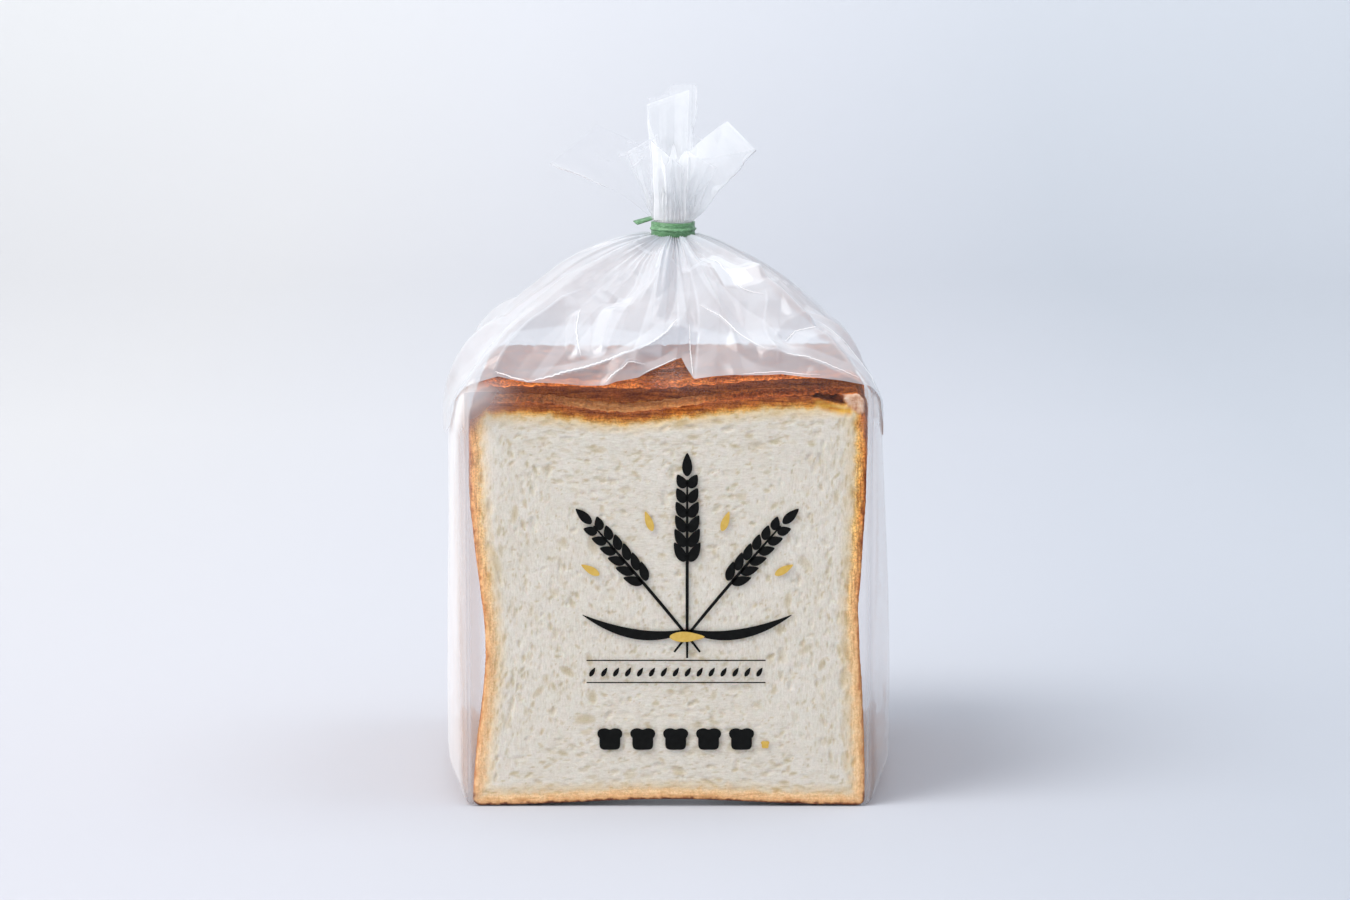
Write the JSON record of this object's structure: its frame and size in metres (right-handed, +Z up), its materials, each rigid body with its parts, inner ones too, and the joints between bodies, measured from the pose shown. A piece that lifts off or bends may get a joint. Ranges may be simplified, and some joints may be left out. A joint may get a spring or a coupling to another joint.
{
  "type": "bagged sandwich bread",
  "caption": "Square sandwich loaf, sliced, standing in a clear gusseted film bag whose top is gathered and closed with a green twist tie.",
  "frame": {"origin": "on the surface the bag stands on, under the middle of the bag's bounding box", "axes": "+Z up towards the tied neck, -Y towards the side where the cut slice shows, +X to the right seen from that side"},
  "size_m": [0.138, 0.132, 0.2119],
  "materials": {
    "bag_body": "the filled bag's outer form, in the tone of bread seen through film",
    "tie_paper": "green paper strip over a thin wire, satin",
    "clear_film": "thin clear plastic film, glossy, faintly milky where it is folded",
    "crumb": "off-white bread crumb with fine open pores, matt",
    "crust": "baked crust, golden to brown, matt with a faint sheen",
    "print_dark": "near-black ink printed on the film",
    "print_gold": "mustard yellow ink printed on the film"
  },
  "bodies": {
    "root": {"bread_bag": "bag_body", "twist_tie": "tie_paper"}
  },
  "joints": []
}
